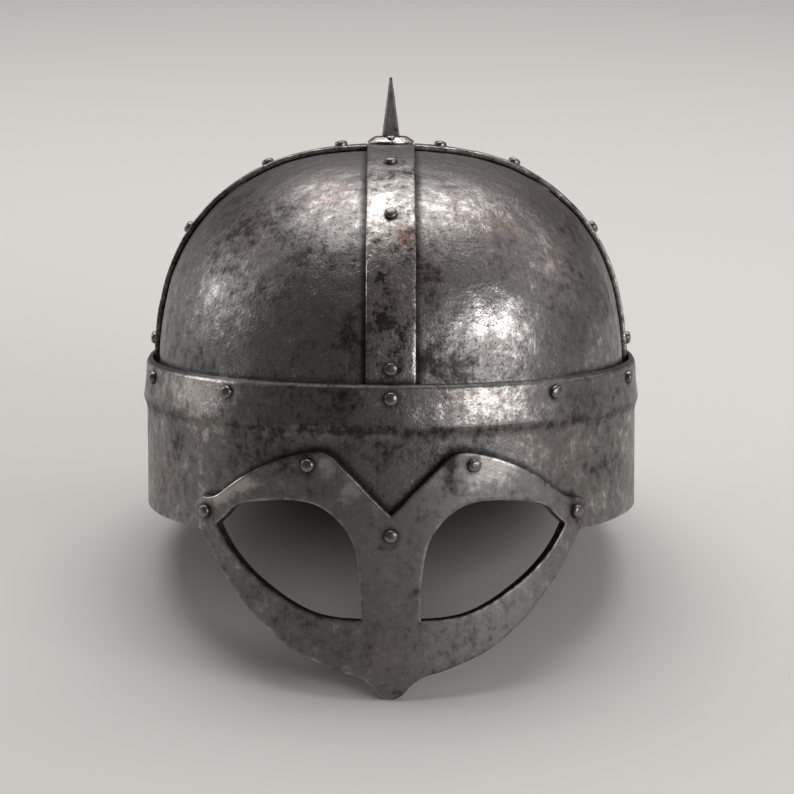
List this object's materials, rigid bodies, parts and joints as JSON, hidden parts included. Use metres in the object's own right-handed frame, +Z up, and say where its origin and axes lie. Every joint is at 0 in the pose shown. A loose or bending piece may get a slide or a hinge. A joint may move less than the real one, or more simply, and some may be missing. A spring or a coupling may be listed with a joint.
{
  "type": "norse iron helmet",
  "caption": "Riveted iron helmet with a rounded crown of strapped plates, a deep brow band, a spectacle guard and a short spike.",
  "frame": {"origin": "on the surface that the helmet rests on, below the middle of its bounding box", "axes": "+Z up, front and face opening towards -Y, +X to the right as seen from the front"},
  "size_m": [0.2028, 0.2626, 0.1953],
  "materials": {
    "plate_iron": "forged, brushed and darkly tarnished",
    "strap_iron": "forged and brushed, worn bright along its edges",
    "band_iron": "forged, brushed and mottled",
    "guard_iron": "forged and brushed, with bright bevelled edges",
    "rivet_iron": "hammered flat, worn bright on top",
    "spike_iron": "forged dark"
  },
  "bodies": {
    "root": {"crown_plate_front_left": "plate_iron", "crown_plate_front_right": "plate_iron", "crown_plate_back_left": "plate_iron", "crown_plate_back_right": "plate_iron", "side_strap_left": "strap_iron", "side_strap_right": "strap_iron", "front_back_strap": "strap_iron", "brow_band": "band_iron", "spectacle_guard": "guard_iron", "spike_disc": "strap_iron", "spike": "spike_iron", "pin_disc_front": "rivet_iron", "pin_disc_back": "rivet_iron", "rivet_strap_front_1": "rivet_iron", "rivet_strap_front_2": "rivet_iron", "rivet_strap_front_3": "rivet_iron", "rivet_strap_back_1": "rivet_iron", "rivet_strap_back_2": "rivet_iron", "rivet_strap_back_3": "rivet_iron", "rivet_strap_left_1": "rivet_iron", "rivet_strap_left_2": "rivet_iron", "rivet_strap_left_3": "rivet_iron", "rivet_strap_left_4": "rivet_iron", "rivet_strap_right_1": "rivet_iron", "rivet_strap_right_2": "rivet_iron", "rivet_strap_right_3": "rivet_iron", "rivet_strap_right_4": "rivet_iron", "rivet_band_front": "rivet_iron", "rivet_band_back": "rivet_iron", "rivet_band_front_left_1": "rivet_iron", "rivet_band_front_left_2": "rivet_iron", "rivet_band_front_right_1": "rivet_iron", "rivet_band_front_right_2": "rivet_iron", "rivet_band_back_left_1": "rivet_iron", "rivet_band_back_left_2": "rivet_iron", "rivet_band_back_right_1": "rivet_iron", "rivet_band_back_right_2": "rivet_iron", "rivet_guard_nose": "rivet_iron", "rivet_guard_brow_left": "rivet_iron", "rivet_guard_brow_right": "rivet_iron", "rivet_guard_temple_left": "rivet_iron", "rivet_guard_temple_right": "rivet_iron"}
  },
  "joints": []
}
